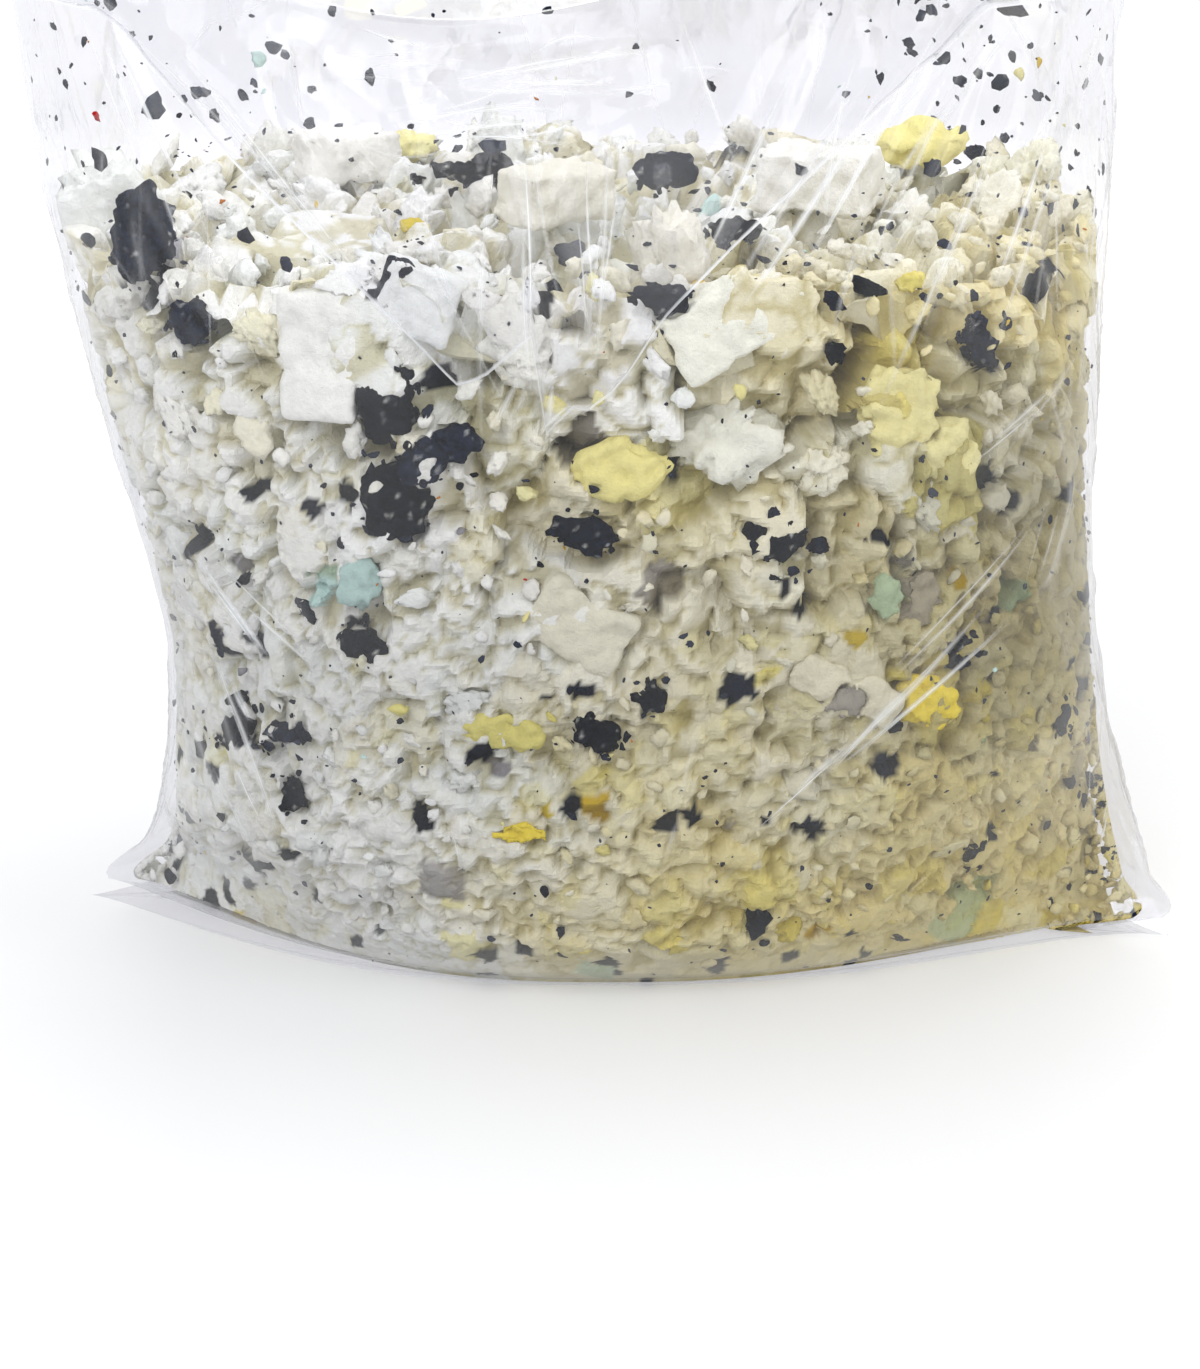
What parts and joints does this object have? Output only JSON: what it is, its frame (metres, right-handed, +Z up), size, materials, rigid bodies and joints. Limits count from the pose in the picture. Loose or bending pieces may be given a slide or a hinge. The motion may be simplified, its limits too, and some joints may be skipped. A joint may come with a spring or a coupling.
{
  "type": "open clear film bag of shredded memory foam",
  "caption": "Open clear plastic film bag standing on its base, filled with loose shredded memory foam in mixed colours.",
  "frame": {"origin": "on the floor, under the middle of the whole bag's box", "axes": "+X along the bag's width to the right, +Y from the front to the back, +Z up from the flat underside"},
  "size_m": [0.5428, 0.3026, 0.4785],
  "materials": {
    "film": "clear glossy polyethylene film",
    "fill": "mixed torn foam, mostly off-white",
    "charcoal": "soft open-cell foam",
    "white": "soft open-cell foam",
    "cream": "soft open-cell foam",
    "yellow": "soft open-cell foam",
    "gold": "soft open-cell foam",
    "mint": "soft open-cell foam",
    "grey": "soft open-cell foam"
  },
  "bodies": {
    "root": {"bag_film": "film", "charcoal_shred_1": "charcoal", "charcoal_shred_10": "charcoal", "charcoal_shred_11": "charcoal", "charcoal_shred_12": "charcoal", "charcoal_shred_13": "charcoal", "charcoal_shred_14": "charcoal", "charcoal_shred_15": "charcoal", "charcoal_shred_16": "charcoal", "charcoal_shred_17": "charcoal", "charcoal_shred_18": "charcoal", "charcoal_shred_19": "charcoal", "charcoal_shred_2": "charcoal", "charcoal_shred_20": "charcoal", "charcoal_shred_21": "charcoal", "charcoal_shred_22": "charcoal", "charcoal_shred_23": "charcoal", "charcoal_shred_24": "charcoal", "charcoal_shred_3": "charcoal", "charcoal_shred_4": "charcoal", "charcoal_shred_5": "charcoal", "charcoal_shred_6": "charcoal", "charcoal_shred_7": "charcoal", "charcoal_shred_8": "charcoal", "charcoal_shred_9": "charcoal", "cream_shred_1": "cream", "cream_shred_2": "cream", "cream_shred_3": "cream", "foam_fill": "fill", "gold_shred_1": "gold", "gold_shred_2": "gold", "gold_shred_3": "gold", "gold_shred_4": "gold", "grey_shred_1": "grey", "grey_shred_2": "grey", "mint_shred_1": "mint", "mint_shred_2": "mint", "white_shred_1": "white", "white_shred_2": "white", "white_shred_3": "white", "white_shred_4": "white", "white_shred_5": "white", "white_shred_6": "white", "yellow_shred_1": "yellow", "yellow_shred_2": "yellow", "yellow_shred_3": "yellow", "yellow_shred_4": "yellow", "yellow_shred_5": "yellow", "yellow_shred_6": "yellow", "yellow_shred_7": "yellow"}
  },
  "joints": []
}
